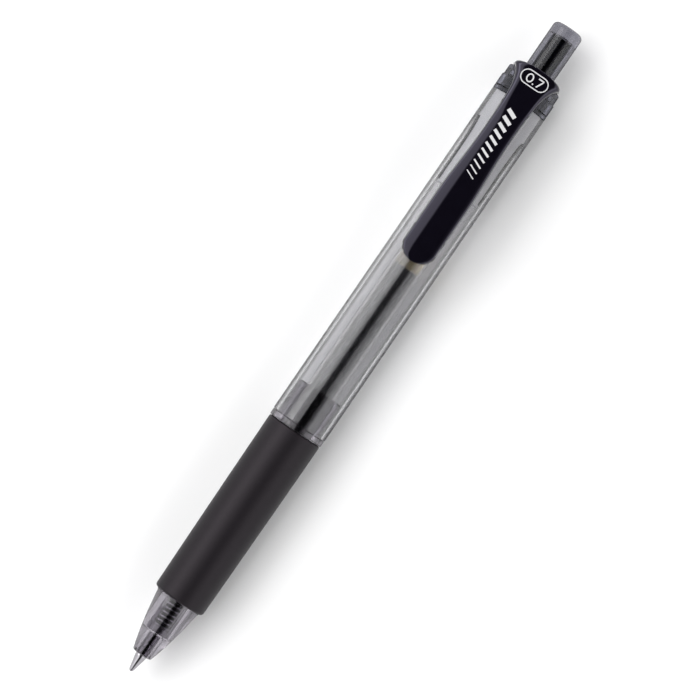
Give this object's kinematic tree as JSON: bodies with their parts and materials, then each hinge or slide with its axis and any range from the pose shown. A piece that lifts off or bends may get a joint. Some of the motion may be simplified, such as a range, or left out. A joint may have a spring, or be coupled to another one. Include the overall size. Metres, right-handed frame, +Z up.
{
  "type": "gel pen",
  "caption": "Retractable gel pen: push button, rotor click mechanism, spring-loaded refill, rubber grip, pocket clip and an unscrewing front section.",
  "frame": {"origin": "on the surface the barrel rests on, under the middle of the pen's length and width", "axes": "+X along the pen towards the button, +Z up through the clip"},
  "size_m": [0.143, 0.0112, 0.0138],
  "materials": {
    "carbide": "polished tungsten carbide",
    "steel": "turned and polished stainless steel",
    "spring_steel": "bright drawn wire",
    "smoke_clear": "clear smoky-grey plastic, polished",
    "barrel_clear": "clear plastic, polished",
    "natural_tube": "natural polypropylene, slightly cloudy",
    "milky": "silver-grey moulded plastic",
    "ink": "black gel ink",
    "grease": "clear amber grease",
    "grip_rubber": "smooth matte black rubber",
    "clip_black": "high-gloss black plastic",
    "slate": "dark slate plastic, satin",
    "print_white": "white pad print"
  },
  "bodies": {
    "rear": {"rear_barrel": "barrel_clear", "rear_cap": "smoke_clear", "cam_sleeve": "milky", "retainer": "slate", "clip_head": "clip_black"},
    "clip": {"clip_arm": "clip_black"},
    "button": {"button_shell": "smoke_clear", "plunger": "slate"},
    "rotor": {"cam_rotor": "milky"},
    "spring": {"return_spring": "spring_steel"},
    "front": {"front_barrel": "smoke_clear", "rubber_grip": "grip_rubber"},
    "refill": {"tip_point": "steel", "ball_spring": "steel", "tip_holder": "slate", "check_ball": "steel", "ink_tube": "natural_tube", "ink_column": "ink", "ink_follower": "grease", "tail_plug": "milky"},
    "ball": {"writing_ball": "carbide"}
  },
  "joints": [
    {"name": "button_slide", "type": "slide", "parent": "rear", "child": "button", "axis": [1, 0, 0], "range_m": [-0.0012, 0.0055], "stiffness_N_per_m": 200},
    {"name": "rotor_turn", "type": "hinge", "parent": "button", "child": "rotor", "pos_m": [0, 0, 0.00563], "axis": [1, 0, 0], "range_deg": [-14, 61]},
    {"name": "front_travel", "type": "slide", "parent": "rear", "child": "spring", "axis": [-1, 0, 0], "range_m": [0, 0.0045]},
    {"name": "front_turn", "type": "hinge", "parent": "spring", "child": "front", "pos_m": [0, 0, 0.00563], "axis": [-1, 0, 0], "range_deg": [0, 1081]},
    {"name": "refill_slide", "type": "slide", "parent": "spring", "child": "refill", "axis": [1, 0, 0], "range_m": [-0.0012, 0.0055], "deforming": ["return_spring"]},
    {"name": "ball_roll", "type": "hinge", "parent": "refill", "child": "ball", "pos_m": [-0.07117, 0, 0.00563], "axis": [0, 1, 0], "continuous": true},
    {"name": "clip_flex", "type": "hinge", "parent": "rear", "child": "clip", "pos_m": [0.05131, 0, 0.01303], "axis": [0, 1, 0], "range_deg": [0, 4], "stiffness_Nm_per_rad": 0.5}
  ],
  "couplings": [
    {"joint": "refill_slide", "follows": "button_slide", "ratio": 1},
    {"joint": "rotor_turn", "follows": "button_slide", "rad_per_m": 190.4},
    {"joint": "front_turn", "follows": "front_travel", "rad_per_m": 4188.8}
  ]
}
